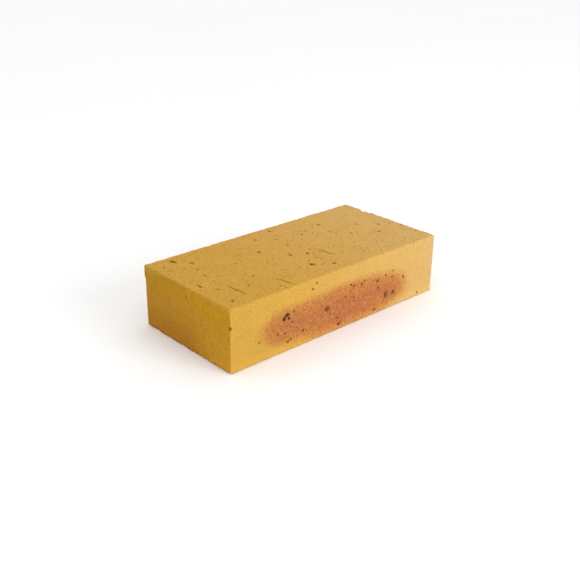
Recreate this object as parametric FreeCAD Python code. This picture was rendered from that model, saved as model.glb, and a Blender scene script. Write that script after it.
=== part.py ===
import FreeCAD, Part
import math
import os

# A solid wire-cut facing brick of fired buff clay, laid on its lower bed.
#
# Frame, in millimetres: the origin is the centre of the lower bed, +X runs along the length, +Y across the width
# from the front stretcher face to the rear one, and +Z up through the height. The faces are the two beds (up and
# down), the two long stretchers (front and rear) and the two short headers (left and right).
#
# The clay column is pushed through a die, which leaves the four sides smooth, and is cut by wires, which leave the
# two beds sandy and torn. Grains of iron ore and lime lie in the clay. In the kiln the iron grains fuse and shrink
# to a hair below the face. Each grain is a solid of its own, and the clay has a pocket that fits it.

# --- driving dimensions -------------------------------------------------------------------------------------------

LENGTH = 215.0
WIDTH = 102.5
HEIGHT = 50.0

UPRIGHT_ARRIS = 2.0  # radius of the four upright edges, rounded by the corners of the die
BED_ARRIS = 1.0  # radius of the eight edges where the wire leaves a bed

GRAIN_RECESS = 0.15  # from the brick's face down to a grain's outer face
GRAIN_CORNERS = 8  # corners around a grain
GRAIN_UNEVEN = 0.08  # how far a corner lies off the grain's mean radius, as a share of it
GRAIN_CORNER_STEP = 2.3  # radians of the unevenness wave from one corner to the next
BELLY_WIDTH = 1.12  # widest section of a grain, as a share of its radius at the outer face
BELLY_DEPTH = 0.6  # depth of that section below the outer face, as a share of the radius
TAIL_WIDTH = 0.45  # innermost section, as a share of the radius
TAIL_DEPTH = 1.5  # depth of that section, as a share of the radius
POCKET_MOUTH = 1.0  # how far a pocket's cutter stands out of the face

TEAR_WIDTH = 0.9  # mouth of a drag tear
TEAR_DEPTH = 0.45  # deepest point of a drag tear

# --- the six faces ------------------------------------------------------------------------------------------------

X = FreeCAD.Vector(1, 0, 0)
Y = FreeCAD.Vector(0, 1, 0)
Z = FreeCAD.Vector(0, 0, 1)


def corner(side_x, side_y, z):
    """The brick's corner on that side of each axis, -1 or +1, at height z."""
    return FreeCAD.Vector(side_x * LENGTH / 2, side_y * WIDTH / 2, z)


# Each face as seen from outside: the corner that its places are measured from, the directions along and across
# the face, and the direction into the clay.
FACES = {
    "front": (corner(-1, -1, HEIGHT), X, -Z, Y),
    "rear": (corner(1, 1, HEIGHT), -X, -Z, -Y),
    "left": (corner(-1, 1, HEIGHT), -Y, -Z, X),
    "right": (corner(1, -1, HEIGHT), Y, -Z, -X),
    "upper": (corner(-1, 1, HEIGHT), X, -Y, -Z),
    "lower": (corner(-1, -1, 0), X, Y, Z),
}

# --- grains and tears ---------------------------------------------------------------------------------------------

# node: face, and its grains as (along, across, radius, slenderness), the last being height over width
GRAINS = {
    "iron_cluster_front": (
        "front",
        [(52.4, 20.8, 1.5, 0.8), (49.4, 23.0, 1.2, 1.0), (53.6, 23.9, 0.8, 0.9)],
    ),
    "iron_nodule_middle": ("front", [(92.5, 28.8, 2.2, 1.0)]),
    "iron_nodule_far_left": ("front", [(158.0, 37.0, 2.1, 1.2)]),
    "iron_nodule_far_right": ("front", [(166.5, 37.0, 2.0, 0.9)]),
    "iron_specks_front": (
        "front",
        [
            (147.0, 22.0, 0.95, 0.9),
            (148.2, 28.0, 0.8, 0.9),
            (129.0, 19.0, 0.9, 0.8),
            (117.0, 16.2, 0.7, 1.0),
            (120.5, 18.2, 0.8, 0.8),
            (156.5, 19.5, 0.65, 1.0),
            (178.0, 26.8, 0.9, 0.9),
            (164.5, 23.0, 0.65, 1.0),
            (105.0, 45.3, 1.1, 0.9),
            (53.0, 42.3, 0.9, 0.9),
            (55.8, 41.3, 0.6, 1.0),
            (68.0, 38.3, 0.9, 1.0),
            (58.5, 19.7, 0.65, 1.0),
            (57.0, 27.5, 0.65, 1.0),
            (43.5, 33.5, 0.65, 1.0),
            (49.8, 34.5, 0.6, 1.0),
            (103.5, 39.5, 0.65, 1.0),
            (95.5, 33.5, 0.6, 1.0),
            (111.5, 24.5, 0.65, 1.0),
            (120.8, 27.5, 0.65, 1.0),
            (145.0, 45.8, 0.95, 0.9),
            (197.0, 46.5, 0.8, 0.7),
        ],
    ),
    "lime_grain_front": ("front", [(134.5, 36.7, 1.3, 0.6)]),
    "iron_nodule_bed": ("upper", [(95.8, 80.5, 1.3, 1.1)]),
    "iron_specks_bed": (
        "upper",
        [
            (19.5, 9.0, 0.75, 1.6),
            (29.0, 20.0, 0.7, 1.3),
            (25.0, 33.0, 0.6, 1.0),
            (8.5, 58.0, 0.6, 1.5),
            (96.0, 56.0, 0.75, 1.3),
            (108.0, 62.5, 0.75, 1.0),
            (110.0, 90.0, 0.8, 1.0),
            (96.0, 14.5, 0.7, 1.3),
            (117.5, 7.0, 0.75, 1.2),
            (81.5, 36.5, 0.7, 1.3),
            (132.5, 30.5, 0.6, 1.0),
            (159.0, 22.5, 0.75, 1.4),
            (154.5, 41.0, 0.7, 1.0),
            (165.5, 54.0, 0.6, 1.0),
            (198.5, 54.0, 0.7, 1.0),
            (186.5, 66.0, 0.6, 1.0),
            (49.0, 68.0, 0.6, 1.2),
            (35.5, 79.0, 0.6, 1.0),
            (11.0, 91.5, 0.7, 1.0),
        ],
    ),
    "iron_specks_header": (
        "left",
        [(52.5, 7.8, 0.85, 0.8), (69.0, 23.8, 0.6, 0.9), (31.0, 36.0, 0.6, 0.9)],
    ),
    "iron_specks_rear": (
        "rear",
        [
            (31.0, 13.5, 0.85, 0.9),
            (64.5, 35.0, 1.25, 0.9),
            (88.0, 19.0, 0.7, 1.0),
            (121.5, 40.5, 0.95, 0.8),
            (139.0, 12.0, 0.7, 1.0),
            (171.0, 28.5, 1.55, 1.0),
            (194.0, 39.0, 0.75, 0.9),
        ],
    ),
    "iron_specks_far_header": (
        "right",
        [(22.5, 31.0, 1.0, 0.9), (58.0, 14.0, 0.7, 1.0), (81.0, 38.5, 0.85, 0.8)],
    ),
    "iron_specks_lower_bed": (
        "lower",
        [
            (24.0, 61.0, 0.95, 1.0),
            (57.5, 22.0, 0.75, 1.2),
            (83.0, 83.5, 1.0, 1.0),
            (132.0, 35.0, 0.85, 1.1),
            (149.5, 76.0, 0.7, 1.0),
            (190.0, 47.5, 1.1, 0.9),
        ],
    ),
}

# face, then each drag tear from its start to its end, as places on that face
TEARS = [
    ("upper", (24.2, 69.0), (24.8, 88.5)),
    ("upper", (58.6, 83.0), (61.4, 100.0)),
    ("upper", (120.8, 61.0), (122.0, 77.5)),
    ("lower", (41.0, 12.0), (41.6, 33.0)),
    ("lower", (107.5, 58.0), (106.9, 81.0)),
    ("lower", (171.0, 17.0), (172.0, 34.0)),
]

# --- shapes -------------------------------------------------------------------------------------------------------


def place(face, along, across, depth):
    """A point on a face, or that far below it."""
    start, right, down, inward = FACES[face]
    return start + right * along + down * across + inward * depth


def closed_solid(rings, caps):
    """A solid with flat sides between each ring of corners and the next, closed by the outlines in caps."""
    outlines = list(caps)
    for near, far in zip(rings, rings[1:]):
        for i in range(len(near)):
            j = (i + 1) % len(near)
            outlines.append([near[i], near[j], far[j], far[i]])
    faces = [Part.Face(Part.makePolygon(outline + outline[:1])) for outline in outlines]
    solid = Part.Solid(Part.makeShell(faces))
    if solid.Volume < 0:
        solid.reverse()
    return solid


def grain_ring(face, grain, width, depth):
    """The corners around a grain where its radius is scaled by width, at a depth below the face."""
    along, across, radius, slenderness = grain
    points = []
    for i in range(GRAIN_CORNERS):
        angle = 2 * math.pi * i / GRAIN_CORNERS
        wave = math.sin(GRAIN_CORNER_STEP * i + along + across)
        reach = radius * width * (1 + GRAIN_UNEVEN * wave)
        along_i = along + reach * math.cos(angle)
        across_i = across + reach * slenderness * math.sin(angle)
        points.append(place(face, along_i, across_i, depth))
    return points


def grain_solid(face, grain):
    """A blunt many-sided grain, widest a little below its outer face and narrowing into the clay."""
    radius = grain[2]
    rings = [
        grain_ring(face, grain, 1.0, GRAIN_RECESS),
        grain_ring(face, grain, BELLY_WIDTH, GRAIN_RECESS + BELLY_DEPTH * radius),
        grain_ring(face, grain, TAIL_WIDTH, GRAIN_RECESS + TAIL_DEPTH * radius),
    ]
    return closed_solid(rings, [rings[0], rings[-1]])


def pocket_mouth(face, grain):
    """The open part of a grain's pocket, from the grain's outer face out through the brick's face."""
    rings = [
        grain_ring(face, grain, 1.0, -POCKET_MOUTH),
        grain_ring(face, grain, 1.0, GRAIN_RECESS),
    ]
    return closed_solid(rings, [rings[0], rings[-1]])


def tear_cutter(face, start, end):
    """A long diamond at the face that narrows to a keel point below it, with its back outside the brick."""
    run_along = end[0] - start[0]
    run_across = end[1] - start[1]
    run = math.hypot(run_along, run_across)
    middle = ((start[0] + end[0]) / 2, (start[1] + end[1]) / 2)
    side = (-run_across / run * TEAR_WIDTH / 2, run_along / run * TEAR_WIDTH / 2)
    mouth = [
        place(face, start[0], start[1], 0),
        place(face, middle[0] + side[0], middle[1] + side[1], 0),
        place(face, end[0], end[1], 0),
        place(face, middle[0] - side[0], middle[1] - side[1], 0),
    ]
    keel = place(face, middle[0], middle[1], TEAR_DEPTH)
    back = place(face, middle[0], middle[1], -TEAR_DEPTH)
    triangles = []
    for i in range(4):
        pair = [mouth[i], mouth[(i + 1) % 4]]
        triangles.append(pair + [keel])
        triangles.append(pair + [back])
    return closed_solid([], triangles)


def block():
    """The clay block with its upright edges rounded by the die and its bed edges eased by the wire."""
    box = Part.makeBox(LENGTH, WIDTH, HEIGHT, corner(-1, -1, 0))
    upright = [e for e in box.Edges if abs(e.tangentAt(e.FirstParameter).dot(Z)) > 0.5]
    rounded = box.makeFillet(UPRIGHT_ARRIS, upright)
    bed_edges = [e for e in rounded.Edges if e.BoundBox.ZLength < 1e-6]
    return rounded.makeFillet(BED_ARRIS, bed_edges)


def clay_body(grains_by_node):
    """The block, less every grain's pocket and every drag tear."""
    cutters = [tear_cutter(*tear) for tear in TEARS]
    for node, (face, grains) in GRAINS.items():
        cutters += grains_by_node[node]
        cutters += [pocket_mouth(face, grain) for grain in grains]
    return block().cut(cutters)


def main():
    os.makedirs("parts", exist_ok=True)
    grains_by_node = {
        node: [grain_solid(face, grain) for grain in grains] for node, (face, grains) in GRAINS.items()
    }
    body = clay_body(grains_by_node)
    body.exportStep("parts/clay_body.step")
    for node, solids in grains_by_node.items():
        Part.makeCompound(solids).exportStep("parts/" + node + ".step")


main()
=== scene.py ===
"""A buff wire-cut clay brick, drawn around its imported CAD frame.

The clay body is one mesh: a fine grid over the CAD box, rounded at the arrises and then pushed in by the
wire's drag, pits, tears, chips and the sockets of the grains. Each iron or lime grain is a fused lump in its
socket. Lengths are in millimetres until a mesh is made, and the camera's and lights' places are in metres.
"""

import math

import bmesh
import bpy
import numpy as np
from mathutils import Matrix, Vector

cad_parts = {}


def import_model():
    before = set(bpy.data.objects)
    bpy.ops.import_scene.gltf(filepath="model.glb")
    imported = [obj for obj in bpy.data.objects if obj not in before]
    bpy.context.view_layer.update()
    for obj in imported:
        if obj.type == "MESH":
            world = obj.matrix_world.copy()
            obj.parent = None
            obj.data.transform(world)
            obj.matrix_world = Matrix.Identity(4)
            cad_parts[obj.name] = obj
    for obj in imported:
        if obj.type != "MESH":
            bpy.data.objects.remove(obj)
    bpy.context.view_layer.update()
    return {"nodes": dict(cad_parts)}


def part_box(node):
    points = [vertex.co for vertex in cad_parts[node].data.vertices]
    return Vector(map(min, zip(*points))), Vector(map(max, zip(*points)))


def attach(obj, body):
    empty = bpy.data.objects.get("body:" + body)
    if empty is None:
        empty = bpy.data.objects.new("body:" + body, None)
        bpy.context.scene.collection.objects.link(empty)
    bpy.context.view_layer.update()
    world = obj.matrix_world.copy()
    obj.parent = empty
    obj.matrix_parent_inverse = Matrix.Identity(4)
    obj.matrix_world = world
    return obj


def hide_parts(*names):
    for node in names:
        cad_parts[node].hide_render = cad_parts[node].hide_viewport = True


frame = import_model()

MM = 0.001
LOW, HIGH = (np.array(corner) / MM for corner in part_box("clay_body"))
SIZE = HIGH - LOW
SEED = 7

# --- the surface grid -------------------------------------------------------------------------------------

EDGE_BAND = 4.0  # width of the finely spaced grid beside every arris
EDGE_STEP = 0.28
FACE_STEP = 0.52
BODY_TRIANGLES = 190_000

INSET = 0.32  # the clay's mean surface lies this far inside the CAD box, and only burrs reach the box

# --- camera and light -------------------------------------------------------------------------------------

CAMERA_PLACE = Vector((-0.4200, -0.4496, 0.2975))
CAMERA_TURN = math.radians(42.62)  # from looking along +Y, towards +X
CAMERA_TILT = math.radians(24.70)  # below the horizon
CAMERA_ROLL = math.radians(0.78)
LENS_MM = 52.7

KEY_PLACE = (0.35, -1.50, 0.62)
KEY_SIZE = 0.8
KEY_POWER = 12.2
SKY_STRENGTH = 1.0
FLOOR_RADIUS = 6.0


# ========================================================================================= noise and curves


def smooth(low, high, value):
    """0 below low, 1 above high, and a smooth step between; low may be the larger of the two."""
    t = np.clip((value - low) / (high - low), 0.0, 1.0)
    return t * t * (3.0 - 2.0 * t)


def bell(distance, width):
    return np.exp(-((distance / width) ** 2))


def noise(points, wavelength, seed, stretch=(1.0, 1.0, 1.0)):
    """Gradient noise of about -1 to 1 at each point; its lumps are one wavelength across, times stretch."""
    dice = np.random.default_rng(SEED * 1000 + seed)
    order = dice.permutation(256)
    order = np.concatenate([order, order, order])
    gradients = dice.normal(size=(256, 3))
    gradients /= np.linalg.norm(gradients, axis=1)[:, None]
    place = points / (wavelength * np.array(stretch)) + 100.0 + dice.random(3) * 50.0
    cell = np.floor(place).astype(int)
    inside = place - cell
    fade = inside**3 * (inside * (inside * 6.0 - 15.0) + 10.0)
    total = np.zeros(len(points))
    for corner in np.ndindex(2, 2, 2):
        at = (cell + corner) & 255
        hashed = order[order[order[at[:, 0]] + at[:, 1]] + at[:, 2]]
        slope = np.einsum("ij,ij->i", gradients[hashed], inside - corner)
        weight = np.ones(len(points))
        for axis in range(3):
            weight *= fade[:, axis] if corner[axis] else 1.0 - fade[:, axis]
        total += slope * weight
    return total * 1.6


def layers(points, wavelength, seed, count=3, stretch=(1.0, 1.0, 1.0)):
    """Several octaves of noise, each half as long and half as strong as the one before."""
    total = sum(
        noise(points, wavelength / 2**i, seed + 17 * i, stretch) / 2**i for i in range(count)
    )
    return total / (2.0 - 2.0 ** (1 - count))


# ========================================================================================= the clay's shape


def axis_lines(low, high):
    """Grid lines along one axis, close together beside both arrises."""
    edge = np.arange(0.0, EDGE_BAND, EDGE_STEP)
    middle = high - low - 2 * EDGE_BAND
    inner = np.linspace(EDGE_BAND, EDGE_BAND + middle, round(middle / FACE_STEP) + 1)
    return low + np.concatenate([edge, inner, (high - low) - edge[::-1]])


def box_grid(lines):
    """The points on the surface of a box grid, and the four-cornered faces between them, facing out."""
    on = np.zeros([len(line) for line in lines], bool)
    on[[0, -1]] = on[:, [0, -1]] = on[:, :, [0, -1]] = True
    index = np.full(on.shape, -1)
    index[on] = np.arange(on.sum())
    steps = np.argwhere(on)
    points = np.stack([lines[axis][steps[:, axis]] for axis in range(3)], 1)
    quads = []
    for axis in range(3):
        for side in (0, -1):
            sheet = np.take(index, side, axis=axis)
            ring = [sheet[:-1, :-1], sheet[1:, :-1], sheet[1:, 1:], sheet[:-1, 1:]]
            quad = np.stack(ring, -1).reshape(-1, 4)
            flip = (side == 0) != (axis == 1)
            quads.append(quad[:, ::-1] if flip else quad)
    return points, np.concatenate(quads)


# Radius of each arris, by the side of the box it is on along x, y and z; 0 is the axis that it runs along.
ARRIS_RADIUS = {
    (-1, -1, 0): 1.2,
    (-1, 1, 0): 1.3,
    (1, -1, 0): 1.7,
    (1, 1, 0): 1.6,
    (-1, 0, 1): 1.4,
    (1, 0, 1): 1.3,
    (0, -1, 1): 2.0,
    (0, 1, 1): 1.3,
    (-1, 0, -1): 1.2,
    (1, 0, -1): 1.4,
    (0, -1, -1): 1.2,
    (0, 1, -1): 1.3,
}
ARRIS_REACH = 4.0  # how far from an arris its own radius holds
PLAIN_RADIUS = 1.5  # the radius where no arris is near
SMALLEST_RADIUS = 0.5
RADIUS_NOISE = [(0.30, 9.0, 1), (0.22, 2.6, 2)]  # how uneven the radius is: share, wavelength and noise seed
# Corners worn rounder: the corner's sides, the radius added there, and how far that reaches.
WORN_CORNERS = [((-1, -1, 1), 1.6, 4.0), ((1, 1, -1), 2.0, 6.0)]


def to_side(points, side):
    """Distance of each point from the box's face, edge or corner on that side; a 0 leaves its axis out."""
    gaps = [
        (HIGH[axis] - points[:, axis]) if side[axis] > 0 else (points[:, axis] - LOW[axis])
        for axis in range(3)
        if side[axis]
    ]
    return np.sqrt(sum(gap**2 for gap in gaps))


def arris_radius(points):
    """The rounding at each point: its nearest arris's radius, made uneven, and larger at worn corners."""
    weight = np.full(len(points), 1e-6)
    weighted = weight * PLAIN_RADIUS
    for side, radius in ARRIS_RADIUS.items():
        near = bell(to_side(points, side), ARRIS_REACH)
        weight += near
        weighted += near * radius
    radius = weighted / weight
    radius *= 1.0 + sum(share * noise(points, wavelength, seed) for share, wavelength, seed in RADIUS_NOISE)
    for side, extra, reach in WORN_CORNERS:
        radius += extra * bell(to_side(points, side), reach)
    return np.clip(radius, SMALLEST_RADIUS, EDGE_BAND + 2.0)


def rounded(points, radius):
    """The points moved onto the box with rounded arrises, and the way out of the clay at each."""
    reach = radius[:, None]
    core = np.clip(points, LOW + reach, HIGH - reach)
    out = points - core
    out /= np.linalg.norm(out, axis=1)[:, None]
    return core + out * reach, out


FACE_REACH = 1.5  # a point this far off a grain's face counts as one grain radius away from the grain
GRAIN_SHARE = 0.92  # a grain's size on the face over its CAD solid's, which is widest below the face
GRAIN_SHARES = {
    "iron_cluster_front": 1.10,
    "iron_nodule_middle": 0.73,
    "iron_nodule_far_left": 0.73,
    "iron_nodule_far_right": 0.73,
    "iron_nodule_bed": 0.58,
}
SOCKET_GAP = 0.5  # the widest that the pocket stands open around a grain
SOCKET_SHARE = 0.30  # and the most of a grain's radius that it stands open
DRAG_DEPTH = 0.16
DRAG_TAIL = 1.8  # how much longer a bed grain's mark is on the side that the wire dragged it to


def islands(node):
    """The lowest and highest corner, in millimetres, of each separate solid of a CAD node."""
    mesh = bmesh.new()
    mesh.from_mesh(frame["nodes"][node].data)
    bmesh.ops.remove_doubles(mesh, verts=mesh.verts, dist=1e-6)
    found = []
    for start in mesh.verts:
        if start.tag:
            continue
        start.tag = True
        stack, members = [start], []
        while stack:
            vertex = stack.pop()
            members.append(vertex.co[:])
            for edge in vertex.link_edges:
                other = edge.other_vert(vertex)
                if not other.tag:
                    other.tag = True
                    stack.append(other)
        corners = np.array(members) / MM
        found.append((corners.min(0), corners.max(0)))
    mesh.free()
    return found


def grain_list():
    """Every grain of the CAD: its node, its centre on the brick's face, half its size, and which face."""
    grains = []
    for node in sorted(frame["nodes"]):
        if node == "clay_body":
            continue
        for low, high in islands(node):
            gaps = np.concatenate([low - LOW, HIGH - high])
            face = int(np.argmin(gaps))
            axis, sign = face % 3, (1 if face > 2 else -1)
            centre = (low + high) / 2
            centre[axis] = HIGH[axis] if sign > 0 else LOW[axis]
            half = (high - low) / 2
            grains.append({"node": node, "centre": centre, "half": half, "axis": axis, "sign": sign})
    return grains


PIT_MARGIN = 3.0  # random pits keep this far from the arrises
PIT_DEPTH = 0.55  # a pit's depth over its radius


def random_pits(axis, sign, count, smallest, largest, seed):
    """Small pits scattered over one face of the box: (centre, axis, radius, length along y over width)."""
    dice = np.random.default_rng(seed)
    pits = []
    for _ in range(count):
        centre = LOW + PIT_MARGIN + dice.random(3) * (SIZE - 2 * PIT_MARGIN)
        centre[axis] = HIGH[axis] if sign > 0 else LOW[axis]
        radius = smallest + (largest - smallest) * dice.random() ** 3
        pits.append((centre, axis, radius, 1.0 + (2.2 * dice.random() if axis == 2 else 0.0)))
    return pits


PIT_REACH = 0.4  # distance into the face counts this much, so that a pit's own bottom lies inside it
BED_PIT_SLENDER = 1.6

# Single pits at dark specks of the photo: distance from the left side, from the top, and radius on the front
# face, and the same with the distance from the rear side on the upper bed. The places are rounded from a list
# that a scratch spot finder printed, not read by eye, as report.md says; the radii were set by hand.
FRONT_PITS = [(77, 8, 1.4), (81, 4, 1.3), (26, 34, 1.2), (165, 18, 1.4), (132, 17, 1.3), (107, 45, 1.2)]
BED_PITS = [(20, 7.5, 1.6), (20.5, 10.5, 1.7)]


def all_pits():
    """Pits of the whole body: many on the two wire-cut beds, few on the four die-smooth sides."""
    front = [
        (np.array([LOW[0] + x, LOW[1], HIGH[2] - down]), 1, radius, 1.0) for x, down, radius in FRONT_PITS
    ]
    bed = [
        (np.array([LOW[0] + x, HIGH[1] - back, HIGH[2]]), 2, radius, BED_PIT_SLENDER)
        for x, back, radius in BED_PITS
    ]
    return (
        front
        + bed
        + random_pits(2, 1, 260, 0.35, 0.95, 21)
        + random_pits(2, -1, 260, 0.35, 1.1, 22)
        + random_pits(1, -1, 70, 0.3, 0.7, 23)
        + random_pits(1, 1, 80, 0.3, 0.9, 24)
        + random_pits(0, -1, 34, 0.3, 0.7, 25)
        + random_pits(0, 1, 36, 0.3, 0.9, 26)
    )


# Drag tears: the bed's side along z, then start and end as distances from the left and rear sides of the box.
TEARS = [
    (1, (24.2, 69.0), (24.8, 88.5)),
    (1, (58.6, 83.0), (61.4, 100.0)),
    (1, (120.8, 61.0), (122.0, 77.5)),
    (1, (19.0, 6.0), (20.3, 12.0)),
    (1, (8.6, 55.5), (8.2, 61.0)),
    (1, (158.8, 20.0), (159.4, 25.5)),
    (1, (95.4, 53.5), (96.4, 58.5)),
    (1, (81.2, 34.5), (82.0, 38.8)),
    (1, (109.2, 88.0), (111.4, 92.0)),
    (1, (184.0, 64.6), (187.6, 67.2)),
    (-1, (41.0, 90.5), (41.6, 69.5)),
    (-1, (107.5, 44.5), (106.9, 21.5)),
    (-1, (171.0, 85.5), (172.0, 68.5)),
]
TEAR_HALF_WIDTH = 0.55
TEAR_DEPTH = 0.5
TEAR_WANDER = 0.22  # how far a tear strays from the straight line between its ends


def tear_nearness(points):
    """1 on the line of a drag tear and 0 beyond its edge."""
    nearest = np.zeros(len(points))
    for side, start, end in TEARS:
        height = HIGH[2] if side > 0 else LOW[2]
        a = np.array([LOW[0] + start[0], HIGH[1] - start[1]])
        b = np.array([LOW[0] + end[0], HIGH[1] - end[1]])
        along = b - a
        share = np.clip((points[:, :2] - a) @ along / (along @ along), 0.0, 1.0)
        wander = TEAR_WANDER * np.sin(share * 9.0 + start[0])
        gap = points[:, :2] - a - share[:, None] * along
        across = np.hypot(gap[:, 0] + wander, gap[:, 1])
        taper = 0.45 + 0.55 * np.sin(np.pi * np.clip(share, 0.06, 0.94))
        near = smooth(TEAR_HALF_WIDTH * 1.6 * taper, 0.0, across)
        nearest = np.maximum(nearest, near * (np.abs(points[:, 2] - height) < 1.5))
    return nearest


# Chips knocked out of the arrises: side of the edge, place along it from its low end, radius and depth.
SHADED_CHIP = ((-1, -1, 0), 35.5, 1.2, 0.5)  # its hollow is darkened with painted shade
CHIPS = [
    SHADED_CHIP,
    ((1, 0, 1), 80.0, 4.2, 1.4),
    ((1, 0, 1), 73.5, 3.2, 0.7),
    ((-1, 0, 1), 47.5, 2.4, 0.8),
    ((-1, 0, 1), 35.0, 2.0, 0.6),
    ((0, -1, -1), 182.0, 2.2, 0.8),
    ((0, -1, -1), 164.0, 1.8, 0.6),
    ((0, -1, -1), 196.5, 1.8, 0.7),
    ((0, 1, 1), 60.0, 2.0, 0.5),
    ((0, 1, 1), 154.0, 2.4, 0.6),
    ((0, 1, -1), 120.0, 3.4, 1.0),
    ((1, 1, 0), 18.0, 3.0, 0.9),
]


def chip_distance(points, chip):
    """Distance of each point from the sharp edge that the chip broke out of, at the chip's place along it."""
    side, along = chip[0], chip[1]
    axis = side.index(0)
    return np.hypot(to_side(points, side), points[:, axis] - LOW[axis] - along)


def chip_depth(points):
    """How deep the chips go at each point."""
    total = np.zeros(len(points))
    for chip in CHIPS:
        radius, depth = chip[2:]
        total = np.maximum(total, depth * smooth(radius, radius * 0.25, chip_distance(points, chip)))
    return total


def pit_depth(points):
    """How deep the scattered pits go at each point."""
    total = np.zeros(len(points))
    for centre, axis, radius, slender in all_pits():
        reach = radius * slender + 1.0
        near = np.flatnonzero(np.abs(points[:, 0] - centre[0]) < reach)
        near = near[np.linalg.norm(points[near] - centre, axis=1) < reach]
        gap = (points[near] - centre) / [1.0, slender, 1.0]
        gap[:, axis] *= PIT_REACH
        distance = np.linalg.norm(gap, axis=1) / radius
        total[near] = np.maximum(total[near], PIT_DEPTH * radius * smooth(1.0, 0.35, distance))
    return total


def grain_distance(points, grain, tail=1.0):
    """Distance from a grain in grain radii along its face; on a bed the dragged side is tail times longer."""
    axis = grain["axis"]
    gap = (points - grain["centre"]) / grain["half"]
    gap[:, axis] = (points[:, axis] - grain["centre"][axis]) / FACE_REACH
    if axis == 2:
        gap[:, 1] /= np.where(gap[:, 1] < 0.0, tail, 1.0)
    return np.linalg.norm(gap, axis=1)


def around(points, grain, radii):
    """The numbers of the points within so many grain radii of a grain, along x."""
    return np.flatnonzero(np.abs(points[:, 0] - grain["centre"][0]) < radii * max(grain["half"]))


def socket_depth(points, grains):
    """The pocket that the shrinking grain leaves in the clay, which hides the grain's own sides."""
    total = np.zeros(len(points))
    for grain in grains:
        near = around(points, grain, 2.0)
        radius = np.sort(grain["half"])[1]
        rim = GRAIN_SHARES.get(grain["node"], GRAIN_SHARE) + min(SOCKET_SHARE, SOCKET_GAP / radius)
        pocket = (0.30 + 0.35 * radius) * smooth(rim, rim - SOCKET_SHARE, grain_distance(points[near], grain))
        drag = DRAG_DEPTH * smooth(1.5, 0.7, grain_distance(points[near], grain, DRAG_TAIL))
        total[near] = np.maximum(total[near], np.maximum(pocket, drag))
    return total


# Edges that the wire tore: side of the box, how far the burr stands out, and how deep it is nibbled away.
TORN_EDGES = [
    ((-1, 0, -1), 0.42, 0.95),
    ((0, 1, 1), 0.24, 0.12),
    ((1, 0, 1), 0.42, 0.35),
    ((0, 1, -1), 0.40, 0.60),
    ((0, -1, -1), 0.20, 0.35),
    ((1, 0, -1), 0.35, 0.60),
]
LIP_HEIGHT = 10.5  # the left rear upright edge stands proud over this much below the upper bed
LIP = 0.32
BURR_WIDTH = 1.5
NIBBLE_WIDTH = 1.4


def burr(points):
    """How far the wire's burr stands out along the edges that it tore; negative where it is nibbled away."""
    ragged = np.clip(layers(points, 5.5, 31, 3) * 1.5 + 0.25, -1.0, 1.0)
    nibbled = smooth(0.08, 0.5, noise(points, 4.2, 34)) + 0.5 * smooth(0.2, 0.6, noise(points, 1.9, 35))
    total = np.zeros(len(points))
    for side, height, bite in TORN_EDGES:
        gap = to_side(points, side)
        total += height * ragged * bell(gap, BURR_WIDTH) - bite * nibbled * bell(gap, NIBBLE_WIDTH)
    lip = smooth(HIGH[2] - LIP_HEIGHT - 1.2, HIGH[2] - LIP_HEIGHT + 1.2, points[:, 2])
    return total + LIP * (1.8 * lip - 0.8) * bell(to_side(points, (-1, 1, 0)), 3.0)


def bed_share(out):
    """1 on the two wire-cut beds and 0 on the sides, from the way out of the clay."""
    return smooth(0.35, 0.85, np.abs(out[:, 2]))


EVEN = (1.0, 1.0, 1.0)
# Relief in layers of noise: height, wavelength, noise seed, octaves, and stretch along each axis.
WARP = [(0.10, 60.0, 3, 1, EVEN), (0.05, 22.0, 4, 1, EVEN)]
BED_RELIEF = [(0.085, 2.2, 5, 3, EVEN), (0.055, 1.5, 6, 2, (1.0, 9.0, 1.0))]
SIDE_RELIEF = [(0.040, 3.0, 7, 3, EVEN), (0.018, 2.4, 8, 1, (1.0, 1.0, 30.0))]
ARRIS_RELIEF = [(0.12, 2.4, 10, 3, EVEN)]
BED_HOLLOWS = 0.10  # depth of the hollows that the wire plucked out of the beds


def relief(points, table):
    """The sum of a table's layers of noise at each point."""
    return sum(
        height * layers(points, wavelength, seed, octaves, stretch)
        for height, wavelength, seed, octaves, stretch in table
    )


def clay_shape(points, grains):
    """The points of the box grid moved to the clay's surface."""
    shell, out = rounded(points, arris_radius(points))
    bed = bed_share(out)
    from_arris = np.sort(np.minimum(shell - LOW, HIGH - shell), axis=1)[:, 1]
    hollows = BED_HOLLOWS * np.clip(noise(shell, 4.5, 9), 0.0, 1.0)
    depth = INSET + relief(shell, WARP)
    depth += bed * (relief(shell, BED_RELIEF) + hollows)
    depth += (1.0 - bed) * relief(shell, SIDE_RELIEF)
    depth += smooth(3.0, 0.5, from_arris) * relief(shell, ARRIS_RELIEF)
    depth += pit_depth(shell) + socket_depth(shell, grains)
    depth += TEAR_DEPTH * tear_nearness(shell) + chip_depth(shell)
    depth -= burr(shell)
    return shell - out * np.clip(depth, 0.0, None)[:, None]


def new_mesh(name, points, faces):
    """A mesh object from numpy points in metres and faces that all have the same number of corners."""
    mesh = bpy.data.meshes.new(name)
    mesh.vertices.add(len(points))
    mesh.vertices.foreach_set("co", points.astype(np.float32).ravel())
    mesh.loops.add(faces.size)
    mesh.loops.foreach_set("vertex_index", faces.astype(np.int32).ravel())
    mesh.polygons.add(len(faces))
    mesh.polygons.foreach_set("loop_start", np.arange(0, faces.size, faces.shape[1], dtype=np.int32))
    mesh.update(calc_edges=True)
    piece = bpy.data.objects.new(name, mesh)
    bpy.context.scene.collection.objects.link(piece)
    return piece


def shade_smooth(piece):
    piece.data.polygons.foreach_set("use_smooth", np.ones(len(piece.data.polygons), bool))


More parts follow.
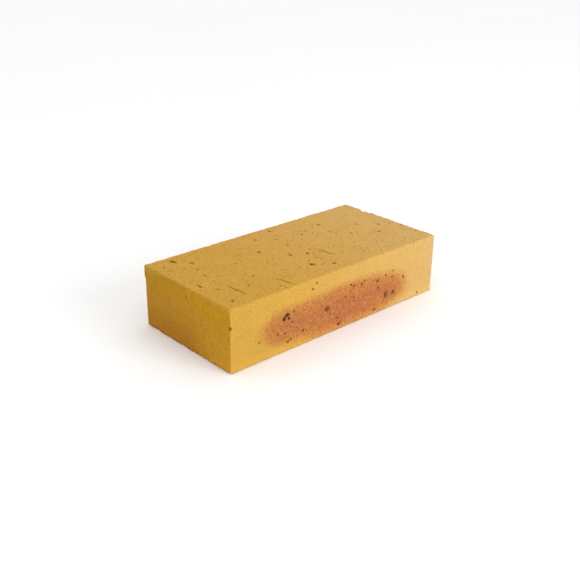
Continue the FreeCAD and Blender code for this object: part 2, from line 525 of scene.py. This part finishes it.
def thinned(piece, triangles):
    """Decimates a piece's flatter parts, and leaves about that many triangles."""
    change = piece.modifiers.new("thin", "DECIMATE")
    change.ratio = triangles / (2.0 * len(piece.data.polygons))
    change.use_collapse_triangulate = True
    depsgraph = bpy.context.evaluated_depsgraph_get()
    mesh = bpy.data.meshes.new_from_object(piece.evaluated_get(depsgraph))
    piece.modifiers.clear()
    piece.data = mesh


def vertex_places(piece):
    """A piece's vertices in millimetres."""
    places = np.zeros(len(piece.data.vertices) * 3, np.float32)
    piece.data.vertices.foreach_get("co", places)
    return places.reshape(-1, 3).astype(float) / MM


def set_attribute(piece, name, values):
    layer = piece.data.attributes.new(name, "FLOAT", "POINT")
    layer.data.foreach_set("value", values.astype(np.float32))


# ======================================================================================= the clay's colours

# The kiln flash on the front face, in millimetres from the box's left side and from its top: a bar with round
# ends, from its first centre to its last, and two ovals that widen its middle downwards and upwards.
FLASH_BAR = ((52.0, 28.8), (157.0, 32.3), 12.3)
FLASH_OVALS = [((118.0, 38.0), (50.0, 15.0)), ((112.0, 29.0), (48.0, 13.7))]
REAR_BAR = ((68.0, 26.0), (122.0, 29.0), 10.0)
REAR_OVALS = [((100.0, 36.0), (34.0, 12.0))]
FLASH_BLEND = 4.0
END_FADE = 0.6  # distance past the bar's ends counts this much, so that a flash fades out slowly there
OFF_FACE = 60.0  # added to the distance of every point that isn't on the flashed face


def flash_gap(across, down, bar, ovals):
    """Distance in millimetres outside the edge of a flash; negative inside it."""
    (first, last, radius) = (np.array(bar[0]), np.array(bar[1]), bar[2])
    place = np.stack([across, down], 1) - first
    along = last - first
    length = np.linalg.norm(along)
    reached = place @ along / length
    past_end = reached - np.clip(reached, 0.0, length)
    beside = (place[:, 0] * along[1] - place[:, 1] * along[0]) / length
    gap = np.hypot(past_end * END_FADE, beside) - radius
    for centre, half in ovals:
        oval = (np.hypot((across - centre[0]) / half[0], (down - centre[1]) / half[1]) - 1.0) * half[1]
        mixed = np.clip(0.5 + 0.5 * (gap - oval) / FLASH_BLEND, 0.0, 1.0)
        gap = gap * (1.0 - mixed) + oval * mixed - FLASH_BLEND * mixed * (1.0 - mixed)
    return gap


STAIN_EDGE, STAIN_CORE = 1.7, 0.9  # a grain's stain starts and is full this many grain radii from it
CHIP_SHADE_EDGE, CHIP_SHADE_CORE = 2.0, 1.4  # and where the chip's painted shade starts and is full, in millimetres
OPEN_SHADE = 1.3  # painted shade in the tears and the chip, darker than a grain's rim stain
# Painted shade in the pits, darker the deeper they are cut.
PIT_SHADE = 1.15
# How strongly each node's grains stain the clay around them, where it isn't 1.
STAINS = {
    "lime_grain_front": 0.0,
    "iron_specks_header": 0.25,
    "iron_specks_far_header": 0.5,
    "iron_nodule_middle": 0.5,
    "iron_nodule_far_left": 0.5,
    "iron_nodule_far_right": 0.5,
}


def set_zones(piece, grains):
    """Stores at each vertex its distance from the two flashes, and how strongly iron stain and painted shade
    darken the clay.
    """
    points = vertex_places(piece)
    down = HIGH[2] - points[:, 2]
    front = flash_gap(points[:, 0] - LOW[0], down, FLASH_BAR, FLASH_OVALS)
    rear = flash_gap(HIGH[0] - points[:, 0], down, REAR_BAR, REAR_OVALS)
    set_attribute(piece, "flash", front + OFF_FACE * smooth(1.0, 3.0, to_side(points, (0, -1, 0))))
    set_attribute(piece, "rear_flash", rear + OFF_FACE * smooth(1.0, 3.0, to_side(points, (0, 1, 0))))
    stain_and_shade = np.zeros(len(points))
    for grain in grains:
        near = around(points, grain, 4.0)
        distance = grain_distance(points[near], grain, DRAG_TAIL)
        strength = STAINS.get(grain["node"], 1.0)
        stain_and_shade[near] = np.maximum(stain_and_shade[near], strength * smooth(STAIN_EDGE, STAIN_CORE, distance))
    # Painted shade: the chip, the tears and the pits are darkened over their hollows, in the same layer as
    # the iron stain.
    from_chip = chip_distance(points, SHADED_CHIP)
    stain_and_shade = np.maximum(stain_and_shade, OPEN_SHADE * smooth(CHIP_SHADE_EDGE, CHIP_SHADE_CORE, from_chip))
    stain_and_shade = np.maximum(stain_and_shade, OPEN_SHADE * smooth(0.05, 0.6, tear_nearness(points)))
    stain_and_shade = np.maximum(stain_and_shade, PIT_SHADE * smooth(0.05, 0.45, pit_depth(points)))
    set_attribute(piece, "stain_and_shade", stain_and_shade)


# ================================================================================================ materials


def linear(red, green, blue):
    """A colour given as 0 to 255 display values, as the linear values that a shader takes."""
    values = np.array([red, green, blue]) / 255.0
    curve = np.where(values <= 0.04045, values / 12.92, ((values + 0.055) / 1.055) ** 2.4)
    return (*(float(v) for v in curve), 1.0)


SPECK_WOBBLE = 0.5  # how far noise moves a speck's outline


class Graph:
    """A material's node tree, with short calls that add a node and return its output."""

    def __init__(self, name):
        self.material = bpy.data.materials.new(name)
        self.material.use_nodes = True
        self.tree = self.material.node_tree
        self.shader = self.tree.nodes["Principled BSDF"]
        coords = self.tree.nodes.new("ShaderNodeTexCoord")
        self.place = self.vector("MULTIPLY", coords.outputs["Object"], (1 / MM,) * 3)
        split = self.tree.nodes.new("ShaderNodeSeparateXYZ")
        self.put(split.inputs[0], self.place)
        self.axes = split.outputs

    def put(self, socket, value):
        if isinstance(value, bpy.types.NodeSocket):
            self.tree.links.new(value, socket)
        else:
            socket.default_value = value

    def vector(self, operation, a, b):
        node = self.tree.nodes.new("ShaderNodeVectorMath")
        node.operation = operation
        self.put(node.inputs[0], a)
        self.put(node.inputs[1], b)
        return node.outputs[0]

    def math(self, operation, a, b=0.0):
        node = self.tree.nodes.new("ShaderNodeMath")
        node.operation = operation
        self.put(node.inputs[0], a)
        self.put(node.inputs[1], b)
        return node.outputs[0]

    def product(self, *factors):
        total = factors[0]
        for factor in factors[1:]:
            total = self.math("MULTIPLY", total, factor)
        return total

    def total(self, *terms):
        result = terms[0]
        for term in terms[1:]:
            result = self.math("ADD", result, term)
        return result

    def attribute(self, name):
        node = self.tree.nodes.new("ShaderNodeAttribute")
        node.attribute_name = name
        return node.outputs["Fac"]

    def gap(self, axis, sign):
        """Distance inwards from one side of the brick's box."""
        if sign > 0:
            return self.math("SUBTRACT", float(HIGH[axis]), self.axes[axis])
        return self.math("SUBTRACT", self.axes[axis], float(LOW[axis]))

    def noise(self, wavelength, detail=3.0, stretch=(1.0, 1.0, 1.0)):
        """Noise of 0 to 1 with lumps about a wavelength across."""
        node = self.tree.nodes.new("ShaderNodeTexNoise")
        self.put(node.inputs["Vector"], self.vector("DIVIDE", self.place, stretch))
        node.inputs["Scale"].default_value = 1.0 / wavelength
        node.inputs["Detail"].default_value = detail
        node.inputs["Roughness"].default_value = 0.55
        return node.outputs["Fac"]

    def sway(self, wavelength, reach, detail=3.0):
        """Noise of about -reach to reach."""
        return self.math("MULTIPLY", self.math("SUBTRACT", self.noise(wavelength, detail), 0.5), 4.0 * reach)

    def step(self, value, low, high, to=1.0, kind="SMOOTHSTEP"):
        """0 at low, to at high, and smooth between; low may be the larger."""
        node = self.tree.nodes.new("ShaderNodeMapRange")
        node.interpolation_type = kind
        self.put(node.inputs["Value"], value)
        node.inputs["From Min"].default_value = low
        node.inputs["From Max"].default_value = high
        node.inputs["To Min"].default_value = 0.0
        node.inputs["To Max"].default_value = to
        return node.outputs["Result"]

    def ramp(self, value, stops):
        """The colour at a place; stops are (place, (red, green, blue)) in order."""
        first, last = stops[0][0], stops[-1][0]
        node = self.tree.nodes.new("ShaderNodeValToRGB")
        self.put(node.inputs[0], self.step(value, first, last, kind="LINEAR"))
        elements = node.color_ramp.elements
        elements[0].color = linear(*stops[0][1])
        elements[-1].color = linear(*stops[-1][1])
        for place, colour in stops[1:-1]:
            elements.new((place - first) / (last - first)).color = linear(*colour)
        return node.outputs[0]

    def mix(self, share, a, b, blend="MIX"):
        node = self.tree.nodes.new("ShaderNodeMix")
        node.data_type = "RGBA"
        node.blend_type = blend
        self.put(node.inputs[0], share)
        self.put(node.inputs[6], a)
        self.put(node.inputs[7], b)
        return node.outputs[2]

    def specks(self, cell, largest, stretch=(1.0, 1.0, 1.0), rarity=3.0):
        """1 on small round specks, one of a random size in each cell, and 0 between them."""
        node = self.tree.nodes.new("ShaderNodeTexVoronoi")
        wobble = self.vector("MULTIPLY", self.noise_colour(0.8), (SPECK_WOBBLE,) * 3)
        place = self.vector("ADD", self.place, wobble)
        self.put(node.inputs["Vector"], self.vector("DIVIDE", place, stretch))
        node.inputs["Scale"].default_value = 1.0 / cell
        parts = self.tree.nodes.new("ShaderNodeSeparateColor")
        self.put(parts.inputs[0], node.outputs["Color"])
        size = self.math("MULTIPLY", self.math("POWER", parts.outputs[0], rarity), largest / cell)
        share = self.math("DIVIDE", node.outputs["Distance"], self.math("ADD", size, 1e-4))
        return self.step(share, 1.0, 0.45)

    def noise_colour(self, wavelength):
        """Three noises at once, each 0 to 1, as a vector."""
        node = self.tree.nodes.new("ShaderNodeTexNoise")
        self.put(node.inputs["Vector"], self.place)
        node.inputs["Scale"].default_value = 1.0 / wavelength
        node.inputs["Detail"].default_value = 2.0
        return node.outputs["Color"]

    def bump(self, height, strength, distance):
        node = self.tree.nodes.new("ShaderNodeBump")
        node.inputs["Strength"].default_value = strength
        node.inputs["Distance"].default_value = distance
        self.put(node.inputs["Height"], height)
        return node.outputs["Normal"]

    def finish(self, colour, roughness, normal, specular):
        self.put(self.shader.inputs["Base Color"], colour)
        self.put(self.shader.inputs["Roughness"], roughness)
        self.put(self.shader.inputs["Normal"], normal)
        self.shader.inputs["Specular IOR Level"].default_value = specular
        return self.material


# The fired clay from the box's left side to its right: yellower on the left, and paler to the right partly by
# painted sheen.
BUFF_AND_SHEEN = [
    (0.0, (206, 161, 67)),
    (60.0, (208, 163, 71)),
    (110.0, (211, 166, 84)),
    (150.0, (213, 171, 92)),
    (215.0, (214, 175, 108)),
]
# The left end from its top down: a pale border, an olive band, ochre, and brown towards the lower bed.
LEFT_END = [
    (0.0, (205, 156, 51)),
    (1.5, (198, 147, 32)),
    (4.0, (198, 148, 20)),
    (9.0, (198, 147, 26)),
    (14.0, (200, 147, 38)),
    (26.0, (193, 142, 36)),
    (36.0, (190, 134, 35)),
    (43.0, (181, 126, 32)),
    (50.0, (175, 119, 34)),
]
RIGHT_END = [
    (0.0, (213, 168, 92)),
    (4.0, (206, 158, 62)),
    (22.0, (208, 160, 74)),
    (50.0, (199, 147, 62)),
]
WHITE = linear(255, 255, 255)
BED_TINT = linear(255, 252, 248)  # the wire-cut beds fired a little redder than the smooth sides
FINE_MOTTLE = linear(186, 175, 157)  # three sizes of mottle, which multiply the clay's colour
CLOUD_MOTTLE = linear(240, 238, 234)
BROAD_MOTTLE = linear(247, 246, 242)
PALE_GRIT = linear(222, 190, 132)
BED_SPECK = linear(128, 82, 24)
SIDE_SPECK = linear(124, 72, 30)
DRAG_BROWN = linear(140, 92, 40)
# Painted contact shadow: a dark brown that lines the foot of the sides.
PAINTED_FOOT_SHADOW = linear(118, 72, 30)
# Brown of the iron stain around the grains, also used as painted shade in the pits, tears and one chip.
STAIN_AND_SHADE_BROWN = linear(116, 66, 18)
FLASH_EDGE = linear(207, 137, 75)
FLASH_MIDDLE = linear(202, 123, 77)
BORDER_DROP = 4.5  # how much lower the left end's bands lie at its rear arris
OLIVE_SPREAD = 0.6  # how much of a band's depth the olive takes over at its front arris


def face_shares(g):
    """How far a place belongs to the ends and to the beds, from 0 to 1, and its distance from an arris."""
    near = [g.math("MINIMUM", g.gap(axis, -1), g.gap(axis, 1)) for axis in range(3)]
    ends = g.math("SUBTRACT", g.math("MINIMUM", near[1], near[2]), near[0])
    beds = g.math("SUBTRACT", g.math("MINIMUM", near[0], near[1]), near[2])
    lesser = g.math("MINIMUM", near[0], near[1])
    greater = g.math("MAXIMUM", near[0], near[1])
    arris = g.math("MAXIMUM", lesser, g.math("MINIMUM", greater, near[2]))
    return g.step(ends, -0.7, 0.7), g.step(beds, -0.7, 0.7), arris


def left_end_colour(g):
    """The bands of the left end, which lie lower towards its rear and spread towards its front."""
    down, from_rear = g.gap(2, 1), g.gap(1, 1)
    drop = g.step(from_rear, 36.0, 3.0, BORDER_DROP)
    spread = g.math("SUBTRACT", 1.0, g.step(from_rear, 45.0, 98.0, OLIVE_SPREAD))
    band = g.total(g.product(g.math("SUBTRACT", down, drop), spread), g.sway(12.0, 1.6), g.sway(3.5, 0.5))
    return g.ramp(band, LEFT_END)


def flash_shares(g, gap_name, strength):
    """How far the flash's brown edge, and how far its redder middle, shows at a place."""
    gap = g.total(g.attribute(gap_name), g.sway(11.0, 1.2), g.sway(2.5, 0.6))
    foot = g.math("SUBTRACT", 1.0, g.step(g.gap(2, -1), 9.0, 0.0, 0.4))
    edge = g.product(g.step(gap, 6.0, -4.0, strength), foot)
    middle = g.product(g.step(gap, -3.0, -13.0, 0.9 * strength), g.step(g.noise(14.0), 0.15, 0.55), foot)
    return edge, middle


def tone_and_painted_foot_light(g, ends, beds):
    """How light the clay is: painted light at the foot of the sides, which lifts the shade near the floor,
    and paler on the beds and towards the ends' front.
    """
    # Painted light: up to 12% paler at the foot of the sides, in place of the floor's bounce light.
    foot = g.product(g.step(g.gap(2, -1), 11.0, 0.5, 0.12), g.math("SUBTRACT", 1.0, beds))
    forward = g.product(g.step(g.gap(1, 1), 0.0, SIZE[1], 0.15, "LINEAR"), ends)
    return g.total(0.93, foot, forward, g.product(ends, -0.01), g.product(beds, 0.10))


def speckled(g, clay, beds, flashed):
    """The clay's colour with brown specks and drag lines on it, and how deep they are."""
    clusters = g.step(g.noise(15.0, 2.0), 0.34, 0.54)
    sides = g.math("SUBTRACT", 1.0, beds)
    on_bed = g.product(g.specks(1.9, 0.88, (1.0, 1.7, 1.0), 2.5), beds, g.total(0.45, clusters), 0.62)
    on_sides = g.product(g.specks(1.9, 0.85, rarity=2.5), sides, g.total(0.30, g.product(flashed, 0.55)))
    drag = g.product(g.step(g.noise(0.9, 2.0, (1.0, 14.0, 1.0)), 0.60, 0.76), beds, clusters)
    clay = g.mix(g.product(g.specks(4.0, 0.9), 0.15), clay, PALE_GRIT)
    clay = g.mix(on_bed, clay, BED_SPECK)
    clay = g.mix(on_sides, clay, SIDE_SPECK)
    clay = g.mix(g.product(drag, 0.30), clay, DRAG_BROWN)
    return clay, g.total(on_bed, on_sides, g.product(drag, 0.4))


def clay_material():
    """Buff fired clay: zones of the firing, kiln flash, iron stain, painted shade and light, fine specks, and
    two kinds of skin.
    """
    g = Graph("fired_clay")
    ends, beds, arris = face_shares(g)
    # The clay's tone along x; its paleness towards the right is partly painted sheen.
    clay = g.ramp(g.total(g.gap(0, -1), g.sway(40.0, 8.0)), BUFF_AND_SHEEN)
    end_colour = g.mix(g.step(g.axes[0], -1.0, 1.0), left_end_colour(g), g.ramp(g.gap(2, 1), RIGHT_END))
    clay = g.mix(ends, clay, end_colour)
    clay = g.mix(beds, clay, BED_TINT, "MULTIPLY")
    front_edge, front_middle = flash_shares(g, "flash", 1.0)
    rear_edge, rear_middle = flash_shares(g, "rear_flash", 0.45)
    flashed = g.total(front_edge, rear_edge)
    clay = g.mix(flashed, clay, FLASH_EDGE)
    clay = g.mix(g.total(front_middle, rear_middle), clay, FLASH_MIDDLE)
    # Painted shade: a ragged dark fringe over the bottom 3 mm of the sides, mostly on the ends, standing in
    # for the floor's contact shadow.
    foot_shadow_mask = g.product(g.step(g.gap(2, -1), 3.2, 0.5), g.step(g.noise(2.4, 4.0), 0.42, 0.60), 0.55)
    clay = g.mix(g.product(foot_shadow_mask, g.total(0.15, g.product(ends, 0.85))), clay, PAINTED_FOOT_SHADOW)
    fine = g.noise(0.9, 4.0)
    mottle = g.mix(g.step(fine, 0.30, 0.70), FINE_MOTTLE, WHITE)
    share = g.total(0.28, g.product(beds, 0.26), g.product(ends, 0.30), g.product(flashed, 0.56))
    clay = g.mix(share, clay, mottle, "MULTIPLY")
    cloud = g.mix(g.step(g.noise(3.2, 2.0), 0.3, 0.7), CLOUD_MOTTLE, WHITE)
    clay = g.mix(g.total(0.35, g.product(flashed, 0.65), g.product(ends, 0.45)), clay, cloud, "MULTIPLY")
    broad = g.mix(g.step(g.noise(26.0, 3.0), 0.3, 0.7), BROAD_MOTTLE, WHITE)
    clay = g.mix(0.6, clay, broad, "MULTIPLY")
    clay, holes = speckled(g, clay, beds, flashed)
    clay = g.vector("MULTIPLY", clay, tone_and_painted_foot_light(g, ends, beds))
    # Iron stain around the grains, and painted shade in the pits, tears and the chip.
    stain_and_shade = g.product(g.attribute("stain_and_shade"), g.step(g.noise(1.4, 3.0), 0.10, 0.55), 0.70)
    clay = g.mix(stain_and_shade, clay, STAIN_AND_SHADE_BROWN)
    roughness = g.total(0.74, g.product(fine, 0.2))
    sand = g.total(g.noise(0.55, 4.0), g.product(g.noise(1.4, 3.0, (1.0, 7.0, 1.0)), 0.8))
    skin = g.total(g.noise(0.8, 3.0), g.product(g.noise(1.0, 2.0, (1.0, 1.0, 22.0)), 0.5))
    worn = g.step(arris, 2.5, 0.6, 0.5)
    height = g.total(g.product(g.math("MAXIMUM", beds, worn), sand), g.product(skin, 0.35))
    height = g.total(height, g.product(holes, -1.2))
    return g.finish(clay, roughness, g.bump(height, 0.6, 0.0002), 0.12)


# Iron finishes: the dark and the light of the fused crust, and the rust in its hollows.
IRON_FINISHES = {
    "iron_black": ((40, 14, 12), (76, 34, 28), (96, 46, 22)),
    "iron_fused": ((88, 48, 38), (126, 76, 58), (136, 80, 44)),
    "iron_brown": ((84, 42, 18), (120, 66, 32), (132, 74, 28)),
    "iron_rusty": ((102, 58, 8), (136, 84, 18), (148, 92, 22)),
    "iron_faint": ((142, 98, 26), (158, 110, 32), (152, 102, 26)),
}
# Large nodules fused to a purple-black glass and small bed grains rusted; nodes that aren't listed are brown.
NODE_FINISHES = {
    "iron_cluster_front": "iron_black",
    "iron_nodule_bed": "iron_black",
    "iron_nodule_middle": "iron_fused",
    "iron_nodule_far_left": "iron_fused",
    "iron_nodule_far_right": "iron_fused",
    "iron_specks_bed": "iron_rusty",
    "iron_specks_lower_bed": "iron_rusty",
    "iron_specks_header": "iron_faint",
}


def iron_material(name, dark, light, rust):
    """A fused iron grain: a glassy crust, browner and duller in its hollows."""
    g = Graph(name)
    crust = g.noise(0.9, 4.0)
    colour = g.mix(g.step(crust, 0.35, 0.68), linear(*dark), linear(*light))
    colour = g.mix(g.step(g.noise(0.5, 3.0), 0.54, 0.70, 0.6), colour, linear(*rust))
    roughness = g.total(g.step(crust, 0.2, 0.8, 0.45), 0.38)
    return g.finish(colour, roughness, g.bump(g.noise(0.35, 4.0), 0.6, 0.0001), 0.25)


def lime_material():
    """A chalky cream lime grain."""
    g = Graph("lime_grain")
    crumb = g.noise(0.6, 4.0)
    colour = g.mix(g.step(crumb, 0.3, 0.7), linear(192, 138, 90), linear(210, 160, 112))
    roughness = g.total(0.8, g.product(crumb, 0.15))
    return g.finish(colour, roughness, g.bump(g.noise(0.3, 4.0), 0.7, 0.0001), 0.25)


# =================================================================================================== pieces


PATCH_MARGIN = 4.0
BED, STRETCHER = (SIZE[1], SIZE[0]), (SIZE[2], SIZE[0])


def texture_patches():
    """Where each face lies in the texture map: {face: (left, bottom, u axis, from high?, v axis)}.

    A face's number is its axis, plus 3 if it is on the high side, as in grain_list.
    """
    second = BED[0] + PATCH_MARGIN
    third = second + BED[0] + PATCH_MARGIN
    fourth = third + STRETCHER[0] + PATCH_MARGIN
    above = BED[1] + PATCH_MARGIN
    return {
        5: (0.0, 0.0, 1, True, 0),
        2: (second, 0.0, 1, False, 0),
        1: (third, 0.0, 2, True, 0),
        4: (fourth, 0.0, 2, False, 0),
        0: (0.0, above, 1, True, 2),
        3: (second, above, 1, False, 2),
    }


def texture_map(piece):
    """A texture map with one flat patch for each face, so that a baked texture has no seams inside a face."""
    mesh = piece.data
    points = vertex_places(piece)
    corners = np.zeros(len(mesh.loops), np.int32)
    mesh.loops.foreach_get("vertex_index", corners)
    corners = corners.reshape(-1, 3)
    middle = points[corners].mean(1)
    face = np.argmin(np.concatenate([middle - LOW, HIGH - middle], axis=1), axis=1)
    places = np.zeros((len(corners), 3, 2))
    for number, (left, bottom, u_axis, from_high, v_axis) in texture_patches().items():
        chosen = face == number
        spots = points[corners[chosen]]
        u = HIGH[u_axis] - spots[..., u_axis] if from_high else spots[..., u_axis] - LOW[u_axis]
        v = spots[..., v_axis] - LOW[v_axis]
        places[chosen] = np.stack([left + u, bottom + v], -1)
    width = 2 * (BED[0] + STRETCHER[0]) + 4 * PATCH_MARGIN
    layer = mesh.uv_layers.new(name="OFBake")
    layer.data.foreach_set("uv", ((places + PATCH_MARGIN / 2) / width).astype(np.float32).ravel())


def clay_piece(grains):
    points, quads = box_grid([axis_lines(LOW[axis], HIGH[axis]) for axis in range(3)])
    piece = new_mesh("brick_clay", clay_shape(points, grains) * MM, quads)
    thinned(piece, BODY_TRIANGLES)
    shade_smooth(piece)
    set_zones(piece, grains)
    texture_map(piece)
    piece.data.materials.append(clay_material())
    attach(piece, "root")
    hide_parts("clay_body")


GRAIN_TOP = 0.24  # from the box's face down to the top of a grain, which is about flush with the clay
GRAIN_DEPTH = 0.6  # half a grain's depth over its largest radius on the face
CAP_POWER = 0.5  # below 1, the side of a grain that shows is flatter than a ball
LARGE_GRAIN = 1.3  # a grain with a larger radius than this gets the finer ball
CLEARANCE = 0.05  # a grain stays at least this far inside the CAD box


def grain_lump(grain, number):
    """The points and triangles of one fused lump, seated in its socket."""
    axis, sign = grain["axis"], grain["sign"]
    radius = np.sort(grain["half"])[-1]
    ball = bmesh.new()
    bmesh.ops.create_icosphere(ball, subdivisions=5 if radius > LARGE_GRAIN else 4, radius=1.0)
    points = np.array([v.co[:] for v in ball.verts])
    faces = np.array([[v.index for v in f.verts] for f in ball.faces])
    ball.free()
    spot = points + np.array([13.0, 5.0, 9.0]) * number
    out = points[:, axis] * sign
    points[:, axis] = sign * np.where(out > 0.0, np.abs(out) ** CAP_POWER, out)
    points *= (1.0 + 0.17 * noise(spot, 0.9, 41) + 0.07 * noise(spot, 0.35, 42))[:, None]
    half = grain["half"] * GRAIN_SHARES.get(grain["node"], GRAIN_SHARE)
    half[axis] = GRAIN_DEPTH * radius
    centre = grain["centre"].copy()
    centre[axis] -= sign * (GRAIN_TOP + half[axis])
    return np.clip(centre + points * half, LOW + CLEARANCE, HIGH - CLEARANCE), faces


def grain_piece(node, grains, material):
    """Makes one object of all the lumps of one CAD node."""
    points, faces, count = [], [], 0
    for number, grain in enumerate(grains):
        lump_points, lump_faces = grain_lump(grain, number + len(node))
        points.append(lump_points)
        faces.append(lump_faces + count)
        count += len(lump_points)
    piece = new_mesh(node + "_fused", np.concatenate(points) * MM, np.concatenate(faces))
    shade_smooth(piece)
    piece.data.materials.append(material)
    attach(piece, "root")
    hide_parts(node)


def grain_pieces(grains):
    """One object for each CAD node of grains."""
    materials = {name: iron_material(name, *colours) for name, colours in IRON_FINISHES.items()}
    for node in sorted({grain["node"] for grain in grains}):
        members = [grain for grain in grains if grain["node"] == node]
        if node == "lime_grain_front":
            grain_piece(node, members, lime_material())
        else:
            finish = NODE_FINISHES.get(node, "iron_brown")
            grain_piece(node, members, materials[finish])


# ================================================================================================ the stage


def camera():
    data = bpy.data.cameras.new("camera")
    data.lens = LENS_MM
    data.sensor_width = 36.0
    data.clip_start = 0.01
    view = bpy.data.objects.new("camera", data)
    bpy.context.scene.collection.objects.link(view)
    ahead = Vector(
        (
            math.cos(CAMERA_TILT) * math.sin(CAMERA_TURN),
            math.cos(CAMERA_TILT) * math.cos(CAMERA_TURN),
            -math.sin(CAMERA_TILT),
        )
    )
    turn = ahead.to_track_quat("-Z", "Y").to_matrix().to_4x4()
    view.matrix_world = Matrix.Translation(CAMERA_PLACE) @ turn @ Matrix.Rotation(CAMERA_ROLL, 4, "Z")
    bpy.context.scene.camera = view


def softbox(name, place, size, power):
    """A square area light aimed at the brick."""
    data = bpy.data.lights.new(name, "AREA")
    data.size = size
    data.energy = power
    light = bpy.data.objects.new(name, data)
    light.location = place
    aim = Vector((0, 0, 0.02)) - Vector(place)
    light.rotation_euler = aim.to_track_quat("-Z", "Y").to_euler()
    bpy.context.scene.collection.objects.link(light)


def floor():
    """A wide pale floor disc just under the brick."""
    mesh = bmesh.new()
    bmesh.ops.create_circle(mesh, cap_ends=True, segments=96, radius=FLOOR_RADIUS)
    data = bpy.data.meshes.new("floor")
    mesh.to_mesh(data)
    mesh.free()
    piece = bpy.data.objects.new("floor", data)
    bpy.context.scene.collection.objects.link(piece)
    g = Graph("floor")
    tone = g.mix(g.noise(400.0, 2.0), linear(247, 247, 247), linear(250, 250, 250))
    data.materials.append(g.finish(tone, 0.95, g.bump(g.noise(3.0), 0.02, 0.0001), 0.1))


def world():
    sky = bpy.data.worlds.new("studio")
    sky.use_nodes = True
    back = sky.node_tree.nodes["Background"]
    back.inputs["Color"].default_value = (1.0, 1.0, 1.0, 1.0)
    back.inputs["Strength"].default_value = SKY_STRENGTH
    bpy.context.scene.world = sky
    bpy.context.scene.view_settings.view_transform = "Standard"


def main():
    camera()
    world()
    floor()
    softbox("key", KEY_PLACE, KEY_SIZE, KEY_POWER)
    grains = grain_list()
    clay_piece(grains)
    grain_pieces(grains)


main()
